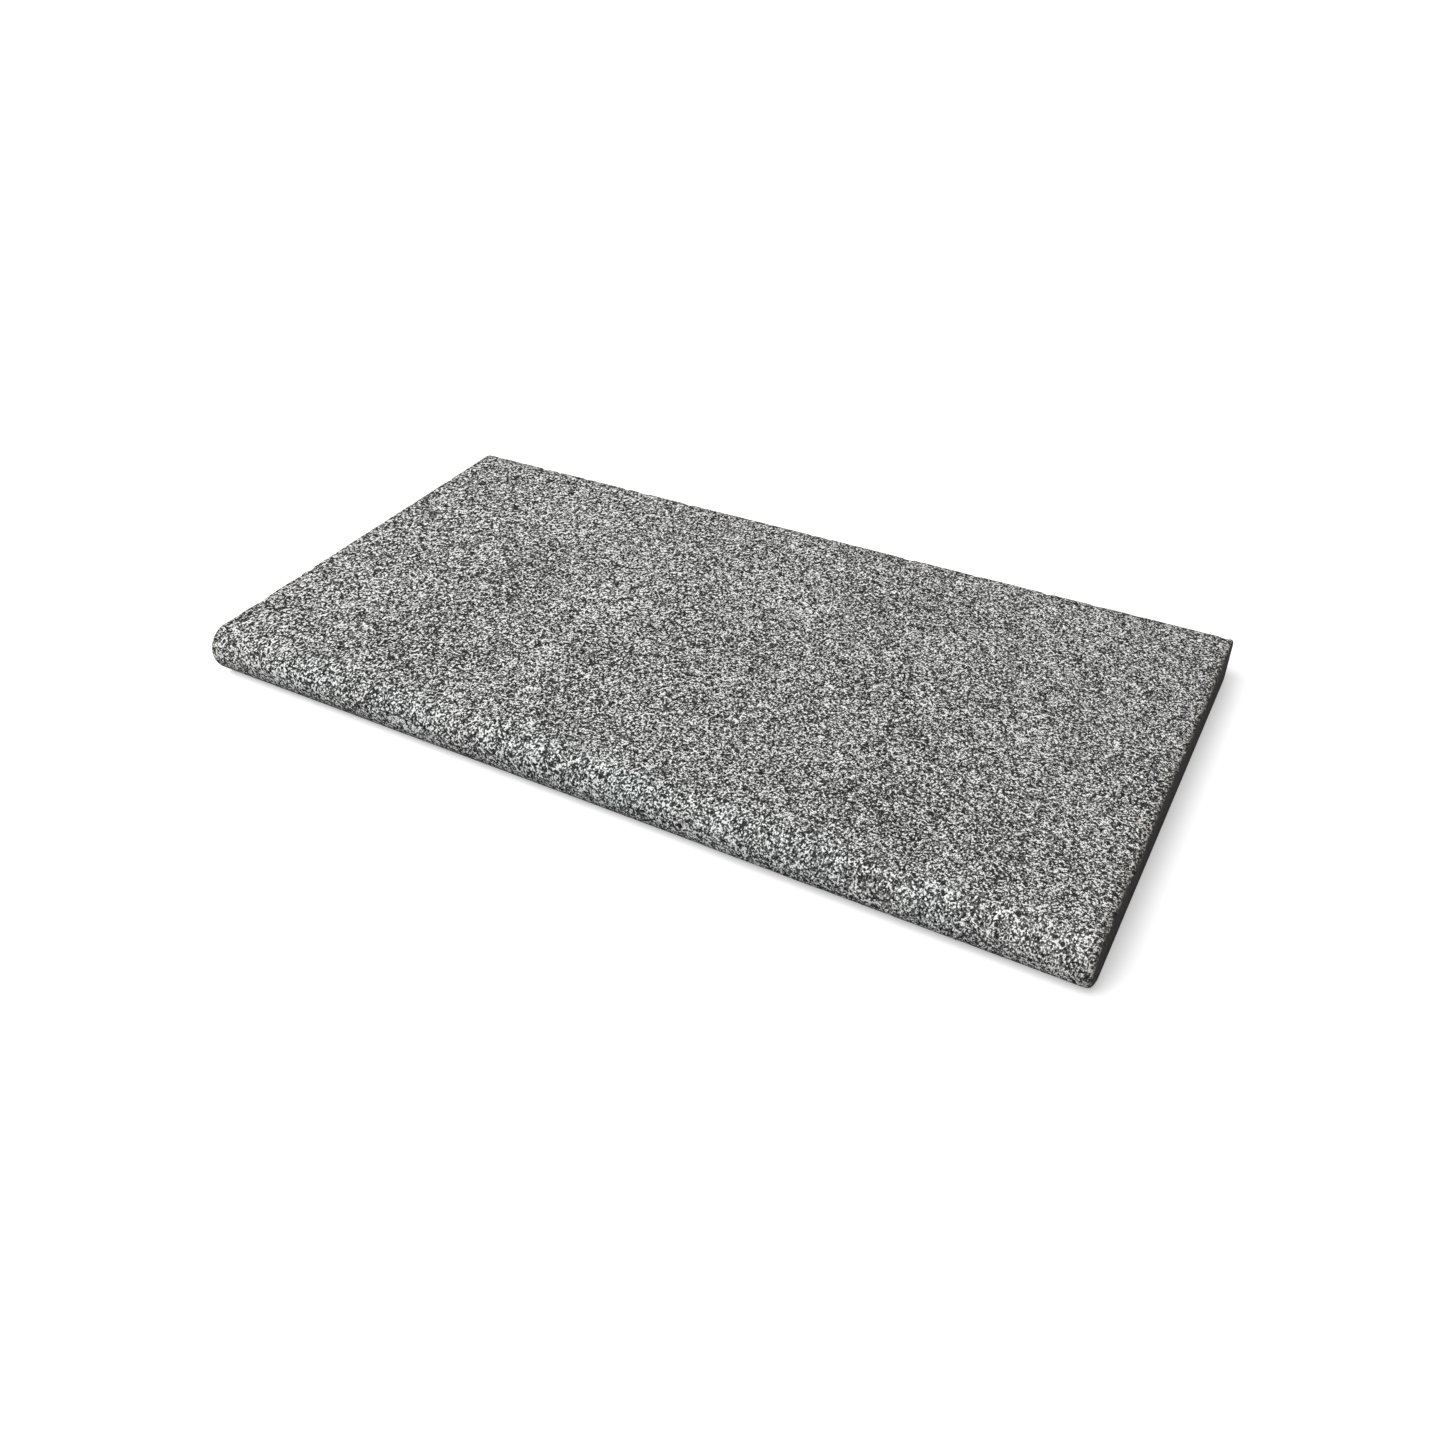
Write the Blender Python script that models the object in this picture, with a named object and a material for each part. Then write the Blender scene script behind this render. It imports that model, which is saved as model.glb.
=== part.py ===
"""A granite slab with a full bullnose along its front edge.

The slab is one piece of stone. It lies flat, with its length along X, its rounded nose
towards -Y and its rough face up. The origin is the middle of its footprint, on the bed it
lies on. All sizes are in metres.
"""

import math

import bmesh
import bpy
from mathutils import Vector

# Driving dimensions
SLAB_LENGTH = 0.600  # along X: the nose runs this whole length
SLAB_DEPTH = 0.300  # along Y: from the front of the nose to the back face
SLAB_THICKNESS = 0.033  # along Z
ARRIS_RADIUS = 0.0024  # the eased edges round both ends and along the back

# How finely the round stretches are cut
NOSE_STEPS = 32  # over the half circle of the nose
ARRIS_STEPS = 3

# Edges whose faces meet at more than this are worn to an arris
SHARP_ANGLE = math.radians(30.0)

# Worked out from the driving dimensions
NOSE_RADIUS = SLAB_THICKNESS / 2.0
NOSE_AXIS_Y = -SLAB_DEPTH / 2.0 + NOSE_RADIUS
BACK_Y = SLAB_DEPTH / 2.0

STONE_COLOUR = (0.28, 0.28, 0.275, 1.0)
STONE_ROUGHNESS = 0.85


def clear_scene():
    """Remove every object of the open scene."""
    for old in list(bpy.data.objects):
        bpy.data.objects.remove(old, do_unlink=True)


def make_stone_material():
    """Return the dark grey, rough stone."""
    material = bpy.data.materials.new("granite")
    material.use_nodes = True
    shader = material.node_tree.nodes["Principled BSDF"]
    shader.inputs["Base Color"].default_value = STONE_COLOUR
    shader.inputs["Roughness"].default_value = STONE_ROUGHNESS
    shader.inputs["Metallic"].default_value = 0.0
    return material


def draw_profile(bm, x):
    """Draw the slab's outline in the plane at x, and return it as one face.

    The outline starts below the nose's axis, turns half a circle round the front, and
    closes over the top, down the back face and along the bed.
    """
    start = bm.verts.new((x, NOSE_AXIS_Y, 0.0))
    spun = bmesh.ops.spin(
        bm,
        geom=[start],
        cent=(x, NOSE_AXIS_Y, NOSE_RADIUS),
        axis=(-1.0, 0.0, 0.0),
        angle=math.pi,
        steps=NOSE_STEPS,
        use_merge=False,
    )
    nose_top = next(v for v in spun["geom_last"] if isinstance(v, bmesh.types.BMVert))
    back_top = bm.verts.new((x, BACK_Y, SLAB_THICKNESS))
    back_foot = bm.verts.new((x, BACK_Y, 0.0))
    for pair in ((nose_top, back_top), (back_top, back_foot), (back_foot, start)):
        bm.edges.new(pair)
    filled = bmesh.ops.contextual_create(bm, geom=list(bm.edges))
    return filled["faces"][0]


def draw_out(bm, profile, length):
    """Pull the profile along X into a closed bar of that length."""
    pulled = bmesh.ops.extrude_face_region(bm, geom=[profile], use_keep_orig=True)
    moved = [v for v in pulled["geom"] if isinstance(v, bmesh.types.BMVert)]
    bmesh.ops.translate(bm, vec=Vector((length, 0.0, 0.0)), verts=moved)
    bmesh.ops.recalc_face_normals(bm, faces=list(bm.faces))


def ease_arrises(bm):
    """Round every sharp edge: round both ends, and along the back at top and bottom."""
    sharp = [e for e in bm.edges if e.calc_face_angle(0.0) > SHARP_ANGLE]
    bmesh.ops.bevel(
        bm,
        geom=sharp,
        offset=ARRIS_RADIUS,
        offset_type="OFFSET",
        segments=ARRIS_STEPS,
        profile=0.5,
        affect="EDGES",
        clamp_overlap=True,
        material=-1,
    )


def build_granite_slab():
    """Build the slab as one closed solid, and return its object."""
    bm = bmesh.new()
    profile = draw_profile(bm, -SLAB_LENGTH / 2.0)
    draw_out(bm, profile, SLAB_LENGTH)
    ease_arrises(bm)
    mesh = bpy.data.meshes.new("granite_slab")
    bm.to_mesh(mesh)
    bm.free()
    mesh.shade_smooth()
    mesh.set_sharp_from_angle(angle=SHARP_ANGLE)
    mesh.materials.append(make_stone_material())
    slab = bpy.data.objects.new("granite_slab", mesh)
    bpy.context.scene.collection.objects.link(slab)
    return slab


clear_scene()
build_granite_slab()
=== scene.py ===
"""A slab of dark grey granite with a full bullnose, lying in a plain, pale studio.

One finely cut piece of stone stands for the frame's plain solid. Its top and nose are
flamed, so they have a rough relief; its ends, back and underside are sawn. The chips
along its arrises are cut into its shape. Lengths are in metres, except in the shader,
whose patterns are laid out in millimetres of stone.
"""

import logging
import math
import random
from dataclasses import dataclass
from enum import Enum
from typing import Dict, List, Sequence, Tuple, Union

import bmesh
import bpy
from mathutils import Euler, Matrix, Vector, kdtree, noise


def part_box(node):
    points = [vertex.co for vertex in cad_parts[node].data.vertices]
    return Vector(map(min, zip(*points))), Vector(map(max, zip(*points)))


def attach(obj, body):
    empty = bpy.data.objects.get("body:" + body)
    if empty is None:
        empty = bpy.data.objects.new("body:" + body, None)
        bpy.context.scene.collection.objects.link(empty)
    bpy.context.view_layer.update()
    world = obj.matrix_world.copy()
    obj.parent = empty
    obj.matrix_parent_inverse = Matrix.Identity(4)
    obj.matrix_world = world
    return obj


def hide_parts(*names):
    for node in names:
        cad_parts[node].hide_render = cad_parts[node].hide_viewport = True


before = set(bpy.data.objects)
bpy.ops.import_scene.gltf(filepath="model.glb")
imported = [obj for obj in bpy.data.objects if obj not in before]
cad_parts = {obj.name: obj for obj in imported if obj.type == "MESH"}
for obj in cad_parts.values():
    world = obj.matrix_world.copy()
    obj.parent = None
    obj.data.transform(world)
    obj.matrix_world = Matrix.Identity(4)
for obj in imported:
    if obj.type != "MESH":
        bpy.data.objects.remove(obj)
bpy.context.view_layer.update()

LOG = logging.getLogger("granite_slab")
CAD_NODE = "granite_slab"
MM = 0.001
SAME_POINT = 0.01 * MM  # points nearer than this to each other are one point
CROWDED = 0.3 * MM  # points of an end face nearer than this are merged
CUT_SNAP = 0.1 * MM  # a cut nearer than this to a point goes through the point

Colour = Tuple[float, float, float]
Paint = Tuple[float, float, float, float]
Span = Tuple[float, float]
Socket = bpy.types.NodeSocket
Value = Union[float, Sequence[float], Socket]


# ---------------------------------------------------------------- small helpers


def smooth_step(low: float, high: float, value: float) -> float:
    """Return 0 below low, 1 above high, and an even curve between them."""
    t = min(1.0, max(0.0, (value - low) / (high - low)))
    return t * t * (3.0 - 2.0 * t)


def verts_of(geometry: Sequence[object]) -> List[bmesh.types.BMVert]:
    """Return the vertices among the results of a bmesh operator."""
    return [g for g in geometry if isinstance(g, bmesh.types.BMVert)]


# ---------------------------------------------------------------- the stone's shape


@dataclass(frozen=True)
class SlabSizes:
    """The slab's sizes, read from the frame's solid.

    Args:
        low: the solid's lowest corner.
        high: the solid's highest corner.
        arris: the radius of the eased edges.
    """

    low: Vector
    high: Vector
    arris: float = 2.4 * MM

    @property
    def thickness(self) -> float:
        """Return the height of the slab."""
        return self.high.z - self.low.z

    @property
    def nose_radius(self) -> float:
        """Return the radius of the full bullnose."""
        return self.thickness / 2.0

    @property
    def nose_axis(self) -> Vector:
        """Return the point that the nose turns round, in the slab's middle plane."""
        return Vector((0.0, self.low.y + self.nose_radius, self.low.z + self.nose_radius))

    @property
    def flat_depth(self) -> float:
        """Return the flat run of the top, from over the nose's axis to the back arris."""
        return self.high.y - self.arris - self.nose_axis.y

    @property
    def face_height(self) -> float:
        """Return the height of the back face between its arrises."""
        return self.thickness - 2.0 * self.arris


@dataclass(frozen=True)
class CutSteps:
    """Into how many short steps each stretch of the slab is cut.

    Args:
        length: steps along the slab.
        top: steps over the flat top.
        nose: steps round the nose.
        arris: steps round an arris.
        back: steps down the back face.
        bed: steps under the slab, a whole fraction of those over the top.
        end_run: how many of the top's steps make one step of an end face.
        end_rise: how many of the back's steps make one step up an end face.
    """

    length: int = 350
    top: int = 168
    nose: int = 30
    arris: int = 3
    back: int = 16
    bed: int = 28
    end_run: int = 2
    end_rise: int = 2


class SectionPen:
    """Draws the outline of the slab's section as a chain of short edges."""

    def __init__(self, bm: bmesh.types.BMesh, start: Vector) -> None:
        """Set the pen down.

        Args:
            bm: the mesh that is drawn in.
            start: the first point of the chain.
        """
        self.bm = bm
        self.tip = bm.verts.new(start)

    def _go(self, centre: Vector, angle: float, way: Vector, steps: int) -> None:
        """Draw one stretch, turned round centre, moved along way, or both."""
        drawn = bmesh.ops.spin(
            self.bm,
            geom=[self.tip],
            cent=centre,
            axis=(-1.0, 0.0, 0.0),
            dvec=way,
            angle=angle,
            steps=steps,
            use_merge=False,
        )
        self.tip = verts_of(drawn["geom_last"])[0]

    def turn(self, centre: Vector, angle: float, steps: int) -> None:
        """Draw an arc.

        Args:
            centre: the arc's centre.
            angle: how far it turns, in radians, from the bed over the nose to the top.
            steps: the number of edges.
        """
        self._go(centre, angle, Vector((0.0, 0.0, 0.0)), steps)

    def run(self, way: Vector, steps: int) -> None:
        """Draw a straight stretch.

        Args:
            way: the whole stretch, as a vector.
            steps: the number of edges.
        """
        self._go(self.tip.co.copy(), 0.0, way / steps, steps)


@dataclass(frozen=True)
class Chip:
    """A bit of stone broken off an arris, as a shallow bowl.

    Args:
        place: the point of the unbroken arris at the middle of the chip.
        facing: the direction in which the broken face looks.
        depth: how much stone is gone at the deepest point.
        ball: the radius of the ball that the bowl is part of.
    """

    place: Vector
    facing: Vector
    depth: float
    ball: float

    @property
    def centre(self) -> Vector:
        """Return the middle of the ball that scoops the stone away."""
        return self.place + self.facing * (self.ball - self.depth)


@dataclass(frozen=True)
class ArrisLine:
    """A straight arris, and how much it has been knocked.

    Args:
        start: one end of the line.
        end: its other end.
        facing: the direction in which the arris looks.
        nicks: how many small nicks it has.
        chips: how many larger chips it has.
    """

    start: Vector
    end: Vector
    facing: Vector
    nicks: int
    chips: int


@dataclass(frozen=True)
class KnockSizes:
    """How often the arrises have been knocked, and how hard. Lengths are in millimetres.

    Args:
        end_edge: the numbers of nicks and of chips along each level edge of an end.
        corner: their numbers down each upright edge at the back.
        back_edge: their numbers along each long edge of the back.
        nick_depth: the least and the most that a nick is deep.
        chip_depth: the least and the most that a chip is deep.
        ball: the least and the greatest radius of the ball that scoops it out.
        tilt: how far its facing strays from the arris's own, along each axis.
        sawn_left: the most that broken stone still looks sawn.
    """

    end_edge: Tuple[int, int] = (34, 7)
    corner: Tuple[int, int] = (4, 1)
    back_edge: Tuple[int, int] = (60, 10)
    nick_depth: Span = (0.15, 0.6)
    chip_depth: Span = (0.7, 1.6)
    ball: Span = (2.5, 7.0)
    tilt: float = 0.35
    sawn_left: float = 0.35


@dataclass(frozen=True)
class LayeredNoise:
    """A noise made of three layers, each finer than the last.

    Args:
        size: the breadth of its coarsest swings.
        fall: how much weaker each finer layer is.
        gain: how much finer each layer is.
        layers: the number of layers.
    """

    size: float
    fall: float
    gain: float
    layers: int = 3

    def at(self, place: Vector) -> float:
        """Return the noise at a place, about 0."""
        return noise.fractal(place / self.size, self.fall, self.gain, self.layers)


@dataclass(frozen=True)
class FlamedRelief:
    """The rough surface that the flame leaves.

    Args:
        height: the height of the roughness.
        sway: how far the hand-finished faces wander from true.
        sway_size: the breadth of that wandering.
        scallops: the shallow scallops.
        scallop_share: their share in the roughness.
        pit_size: the distance between the burst-out pits.
        pit_rim: how far from a pit's middle the face is true, in pits.
        pit_share: the pits' share in the roughness.
    """

    height: float = 0.45 * MM
    sway: float = 0.25 * MM
    sway_size: float = 90.0 * MM
    scallops: LayeredNoise = LayeredNoise(9.0 * MM, 0.9, 2.1)
    scallop_share: float = 0.55
    pit_size: float = 5.5 * MM
    pit_rim: float = 0.45
    pit_share: float = 0.6

    def rough(self, place: Vector) -> float:
        """Return the roughness at a place: below 0 in a hollow, above 0 on a bump."""
        pit = noise.voronoi(place / self.pit_size)[0][0] - self.pit_rim
        return self.scallop_share * self.scallops.at(place) - self.pit_share * pit

    def wander(self, place: Vector) -> float:
        """Return how far the face stands out from true at a place, apart from the roughness."""
        return self.sway * noise.noise(place / self.sway_size)


@dataclass(frozen=True)
class Patch:
    """A patch of the stone that looks different from the rest.

    Args:
        x: its place along the slab.
        y: its place across the slab.
        reach: its radius.
        strength: how different it is, above 0 one way and below 0 the other.
    """

    x: float
    y: float
    reach: float
    strength: float


@dataclass(frozen=True)
class PatchWork:
    """Lays ragged patches over the stone.

    Args:
        patches: the patches.
        ragged_size: the breadth of the swirls that make their edges ragged.
        ragged_push: how far a swirl pushes an edge.
        ragged_level: the height at which the swirls' noise is cut; its seed is the slab's.
        end: how many radii from its middle a patch has faded out.
    """

    patches: Tuple[Patch, ...]
    ragged_size: float = 20.0 * MM
    ragged_push: float = 6.0 * MM
    ragged_level: float = 0.3
    end: float = 2.5

    def at(self, place: Vector) -> float:
        """Return the sum of the patches at a place."""
        level = Vector((place.x, place.y, self.ragged_level))
        swirl = noise.noise_vector(level / self.ragged_size) * self.ragged_push
        total = 0.0
        for patch in self.patches:
            across = math.hypot(place.x + swirl.x - patch.x, place.y + swirl.y - patch.y)
            away = across / patch.reach
            if away < self.end:
                total += patch.strength * math.exp(-away * away)
        return total


@dataclass(frozen=True)
class GrainLie:
    """How the grain lies in the slab: canted, and finer towards the front right corner.

    Args:
        corner: the front right corner, seen from above.
        grading: how fast the grain gets finer, for each metre.
        cant: how it is turned, so that no face of the slab is level in it.
        calm_run: where the minerals start to be more alike, and where they are most so, as
            distances from the slab's middle towards the corner.
        calm_top: how much alike the minerals can be on the top.
        calm_nose: how much more alike they are on the nose.
    """

    corner: complex
    grading: float = 0.8
    cant: Tuple[float, float, float] = (0.6, 0.4, 0.3)
    calm_run: Span = (-0.10, 0.30)
    calm_top: float = 0.6
    calm_nose: float = 0.4

    @property
    def finest(self) -> complex:
        """Return the direction in which the grain gets finer."""
        return self.corner / abs(self.corner)

    def graded(self, place: Vector) -> Vector:
        """Return where a point of the stone lies in the grain's own, graded space."""
        flat = complex(place.x, place.y)
        moved = flat + self.grading / 2.0 * self.finest.conjugate() * flat * flat
        graded = Vector((moved.real, moved.imag, place.z))
        graded.rotate(Euler(self.cant))
        return graded

    def calm(self, place: Vector, nose: float) -> float:
        """Return how much alike the minerals are at a place.

        Args:
            place: the place.
            nose: 1 on the nose, 0 elsewhere.

        Returns:
            From 0, where they differ most, to 1.
        """
        along = (complex(place.x, place.y) * self.finest.conjugate()).real
        return self.calm_top * smooth_step(*self.calm_run, along) + self.calm_nose * nose


@dataclass(frozen=True)
class Painting:
    """How the masks that the shader reads follow from the stone's shape.

    Args:
        sawn_turn: how far a face is turned away from the top and the front where it begins
            to be sawn, and where it is wholly so.
        nose_blend: how far from the nose's axis, to each side, the nose's look starts.
        nose_pale: how much paler the nose is.
        hollow: the roughness where the painted shade of a hollow begins, and where it is
            deepest.
        cool: how blue-green the nose is everywhere.
        cool_patches: how much more so it is in its patches.
        drift: the faint clouds between the larger ones.
        drift_level: the height at which their noise is cut.
        drift_share: how strong they are.
    """

    sawn_turn: Span = (0.30, 0.80)
    nose_blend: float = 12.0 * MM
    nose_pale: float = 0.25
    hollow: Span = (0.1, -0.7)
    cool: float = 0.15
    cool_patches: float = 0.75
    drift: LayeredNoise = LayeredNoise(45.0 * MM, 1.0, 2.0)
    drift_level: float = 1.7
    drift_share: float = 0.2


class Layer(Enum):
    """What is painted on the stone's points, for the shader to read."""

    SAWN = "sawn"  # 0 on flamed stone, 1 on sawn stone
    CLOUD = "cloud"  # -1 in dark clouds, 1 in pale ones
    CALM = "calm"  # 1 where the minerals are most alike
    # painted shade: where this mask is 1, in the relief's hollows, the colour is darkened as if
    # shade fell there
    PAINTED_HOLLOW_SHADE = "hollow"  # 1 at the bottom of the relief
    EDGE = "edge"  # 1 along the arrises of the ends and the back, falling away from them
    TINT = "tint"  # -1 where rusty dust warms the stone, 1 where the mineral is blue-green


GRAIN_PLACE = "grain_place"  # where each point lies in the grain


@dataclass
class StoneSlab:
    """The slab of granite, as one closed mesh.

    Args:
        sizes: the slab's sizes.
        steps: how finely it is cut.
        relief: the roughness of the flamed faces.
        painting: how the painted masks follow from the shape.
        knocks: the nicks and chips along the arrises.
        droop: how far the top falls away at the sawn edges.
        droop_reach: how far in from the edge it does so.
        nose_swell: how far the nose swells out, towards the right.
        swell_start: the place along the slab from which it is swollen fully.
        swell_run: how far to the left of that place the swelling dies away.
        nose_wear: how far the nose's right end is worn back, at its rim.
        wear_reach: how far in from that end the wear goes.
        wear_front: how far forward of the nose's axis the wear is full, in radii.
        seed: the start of the random draws.
    """

    sizes: SlabSizes
    steps: CutSteps = CutSteps()
    relief: FlamedRelief = FlamedRelief()
    painting: Painting = Painting()
    knocks: KnockSizes = KnockSizes()
    droop: float = 0.5 * MM
    droop_reach: float = 3.0 * MM
    nose_swell: float = 1.2 * MM
    swell_start: float = 165.0 * MM
    swell_run: float = 85.0 * MM
    nose_wear: float = 1.4 * MM
    wear_reach: float = 4.0 * MM
    wear_front: float = 0.5
    seed: int = 654

    CLOUDS = PatchWork((
        Patch(-0.240, -0.128, 0.016, 0.7),
        Patch(-0.230, -0.066, 0.016, 0.8),
        Patch(-0.235, 0.048, 0.014, 0.5),
        Patch(-0.170, 0.090, 0.022, 0.6),
        Patch(-0.115, -0.143, 0.014, 0.6),
        Patch(-0.100, -0.115, 0.012, 0.9),
        Patch(-0.085, -0.075, 0.018, 0.6),
        Patch(-0.090, 0.028, 0.020, 0.4),
        Patch(-0.075, 0.005, 0.026, 0.8),
        Patch(0.020, -0.148, 0.012, 0.5),
        Patch(0.035, 0.066, 0.024, 0.6),
        Patch(0.080, -0.143, 0.016, 0.4),
        Patch(0.215, -0.006, 0.013, 0.9),
        Patch(0.210, 0.120, 0.018, 0.4),
        Patch(0.270, -0.145, 0.024, 0.4),
        Patch(-0.165, -0.078, 0.022, -0.6),
        Patch(-0.155, 0.012, 0.020, -0.6),
        Patch(-0.052, -0.046, 0.018, -0.7),
        Patch(-0.050, -0.117, 0.014, -0.5),
        Patch(0.050, 0.010, 0.020, -0.3),
        Patch(0.122, 0.098, 0.024, -0.7),
        Patch(0.130, 0.000, 0.014, -0.5),
        Patch(0.156, -0.096, 0.022, -0.6),
        Patch(0.177, 0.054, 0.012, -0.6),
        Patch(0.210, -0.085, 0.018, -0.35),
    ))
    BLUE_GREENS = PatchWork((
        Patch(-0.205, -0.140, 0.030, 0.3),
        Patch(-0.130, -0.146, 0.024, 0.4),
        Patch(-0.040, -0.148, 0.026, 0.6),
        Patch(0.028, -0.148, 0.024, 1.0),
        Patch(0.095, -0.148, 0.016, 0.5),
        Patch(0.145, -0.146, 0.020, 0.6),
        Patch(0.215, -0.148, 0.014, 0.4),
    ))

    def build(self) -> bpy.types.Object:
        """Build the stone.

        Returns:
            The finished object, at the origin, with no material yet.
        """
        noise.seed_set(self.seed)
        bm = bmesh.new()
        self._draw_section(bm)
        self._close_end(bm)
        self._draw_out(bm)
        bmesh.ops.recalc_face_normals(bm, faces=list(bm.faces))
        bm.normal_update()
        self._roughen(bm)
        self._chip(bm)
        mesh = bpy.data.meshes.new("stone_slab")
        bm.to_mesh(mesh)
        bm.free()
        mesh.shade_smooth()
        stone = bpy.data.objects.new("stone_slab", mesh)
        bpy.context.scene.collection.objects.link(stone)
        return stone

    def _draw_section(self, bm: bmesh.types.BMesh) -> None:
        """Draw the closed outline of the section, where the left arris ends."""
        s, n = self.sizes, self.steps
        x = s.low.x + s.arris
        pen = SectionPen(bm, Vector((x, s.nose_axis.y, s.low.z)))
        back = s.high.y - s.arris
        pen.turn(Vector((x, s.nose_axis.y, s.nose_axis.z)), math.pi, n.nose)
        pen.run(Vector((0.0, s.flat_depth, 0.0)), n.top)
        pen.turn(Vector((x, back, s.high.z - s.arris)), math.pi / 2.0, n.arris)
        pen.run(Vector((0.0, 0.0, -s.face_height)), n.back)
        pen.turn(Vector((x, back, s.low.z + s.arris)), math.pi / 2.0, n.arris)
        pen.run(Vector((0.0, -s.flat_depth, 0.0)), n.bed)
        bmesh.ops.remove_doubles(bm, verts=list(bm.verts), dist=SAME_POINT)

    def _close_end(self, bm: bmesh.types.BMesh) -> None:
        """Close the left end, inside its outline, with a rounded arris and a flat face."""
        face = bmesh.ops.contextual_create(bm, geom=list(bm.edges))["faces"][0]
        face.normal_update()
        if face.normal.x > 0.0:
            face.normal_flip()
        arris, count = self.sizes.arris, self.steps.arris
        for step in range(count):
            low, high = (math.pi / 2.0 * (step + i) / count for i in (0, 1))
            bmesh.ops.inset_individual(
                bm,
                faces=[face],
                thickness=arris * (math.cos(low) - math.cos(high)),
                depth=arris * (math.sin(high) - math.sin(low)),
                use_even_offset=True,
            )
        bmesh.ops.remove_doubles(bm, verts=list(face.verts), dist=CROWDED)
        self._score_end(bm, max(bm.faces, key=lambda found: len(found.verts)))

    def _draw_out(self, bm: bmesh.types.BMesh) -> None:
        """Set the right end opposite the left one, and draw the stone out between them."""
        left = list(bm.verts) + list(bm.edges) + list(bm.faces)
        right = bmesh.ops.duplicate(bm, geom=left)["geom"]
        bmesh.ops.scale(bm, vec=(-1.0, 1.0, 1.0), verts=verts_of(right))
        rims = [edge for edge in bm.edges if edge.is_boundary]
        sides = bmesh.ops.bridge_loops(bm, edges=rims)["edges"]
        bmesh.ops.subdivide_edges(bm, edges=sides, cuts=self.steps.length - 1)

    def _score_end(self, bm: bmesh.types.BMesh, face: bmesh.types.BMFace) -> None:
        """Score an end face into small squares, so that it can be shaped.

        Args:
            bm: the stone.
            face: the end face, in one piece.
        """
        s, n = self.sizes, self.steps
        run = s.flat_depth / n.top * n.end_run
        rise = s.face_height / n.back * n.end_rise
        foot = s.low.z + s.arris
        cuts = [(Vector((0, s.nose_axis.y + run * i, 0)), Vector((0, 1, 0)))
                for i in range(-int(s.nose_radius / run), n.top // n.end_run)]
        cuts += [(Vector((0, 0, foot + rise * i)), Vector((0, 0, 1)))
                 for i in range(1, n.back // n.end_rise)]
        geometry: List[object] = [face]
        geometry += list(face.edges) + list(face.verts)
        for place, across in cuts:
            geometry = bmesh.ops.bisect_plane(
                bm,
                geom=geometry,
                dist=CUT_SNAP,
                plane_co=place,
                plane_no=across,
            )["geom"]

    def _cloud(self, place: Vector) -> float:
        """Return how pale, above 0, or dark, below 0, the stone is at a place."""
        paint = self.painting
        drift = paint.drift.at(Vector((place.x, place.y, paint.drift_level)))
        return max(-1.0, min(1.0, self.CLOUDS.at(place) + paint.drift_share * drift))

    def _tint(self, place: Vector, nose: float, near: float) -> float:
        """Return how blue-green, above 0, or rusty, below 0, the stone is.

        Args:
            place: the place.
            nose: 1 on the nose, 0 elsewhere.
            near: 1 on an arris of the ends and the back, falling to 0 away from it.

        Returns:
            From -1 to 1.
        """
        paint = self.painting
        cool = nose * (paint.cool + paint.cool_patches * self.BLUE_GREENS.at(place))
        return max(-1.0, min(1.0, cool - near))

    def _swell(self, place: Vector) -> float:
        """Return how far the nose stands out at a place: fully, on its right stretch."""
        along = min(0.0, place.x - self.swell_start) / self.swell_run
        return self.nose_swell * math.exp(-along * along)

    def _worn(self, place: Vector) -> Vector:
        """Return how far, and which way, the stone is worn back at the nose's right end."""
        axis = self.sizes.nose_axis
        out = Vector((0.0, place.y - axis.y, place.z - axis.z)) / self.sizes.nose_radius
        left = max(0.0, 1.0 - (self.sizes.high.x - place.x) / self.wear_reach)
        return -out * self.nose_wear * left * left * smooth_step(0.0, self.wear_front, -out.y)

    def _near_arris(self, place: Vector) -> float:
        """Return 1 on the arrises of the ends and the back, falling to 0 away from them."""
        s = self.sizes
        inward = min(place.x - s.low.x, s.high.x - place.x, s.high.y - place.y)
        return math.exp(-max(0.0, inward - s.arris) / self.droop_reach)

    def _roughen(self, bm: bmesh.types.BMesh) -> None:
        """Give the stone its relief, and paint what the shader reads on its points."""
        s, paint = self.sizes, self.painting
        grain = GrainLie(complex(s.high.x, s.low.y))
        layers = {k: bm.verts.layers.float.new(k.value) for k in Layer}
        grain_place = bm.verts.layers.float_vector.new(GRAIN_PLACE)
        for vert in bm.verts:
            p, n = vert.co.copy(), vert.normal.copy()
            sawn = smooth_step(*paint.sawn_turn, max(abs(n.x), n.y, -n.z))
            flamed = 1.0 - sawn
            ahead = s.nose_axis.y - p.y
            nose = smooth_step(-paint.nose_blend, paint.nose_blend, ahead) * flamed
            near = self._near_arris(p)
            rough = self.relief.rough(p)
            height = flamed * (self.relief.height * rough + self.relief.wander(p))
            if ahead < 0.0:
                height -= flamed * self.droop * near
            else:
                height += flamed * self._swell(p) * max(0.0, -n.y)
            vert.co = p + n * height + self._worn(p)
            vert.co.z = max(vert.co.z, s.low.z)
            vert[grain_place] = grain.graded(p)
            vert[layers[Layer.SAWN]] = sawn
            vert[layers[Layer.CLOUD]] = self._cloud(p) + paint.nose_pale * nose
            vert[layers[Layer.CALM]] = grain.calm(p, nose)
            # the mask of the painted shade in the relief's hollows
            vert[layers[Layer.PAINTED_HOLLOW_SHADE]] = smooth_step(*paint.hollow, rough) * flamed
            vert[layers[Layer.EDGE]] = near
            vert[layers[Layer.TINT]] = self._tint(p, nose, near)

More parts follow.
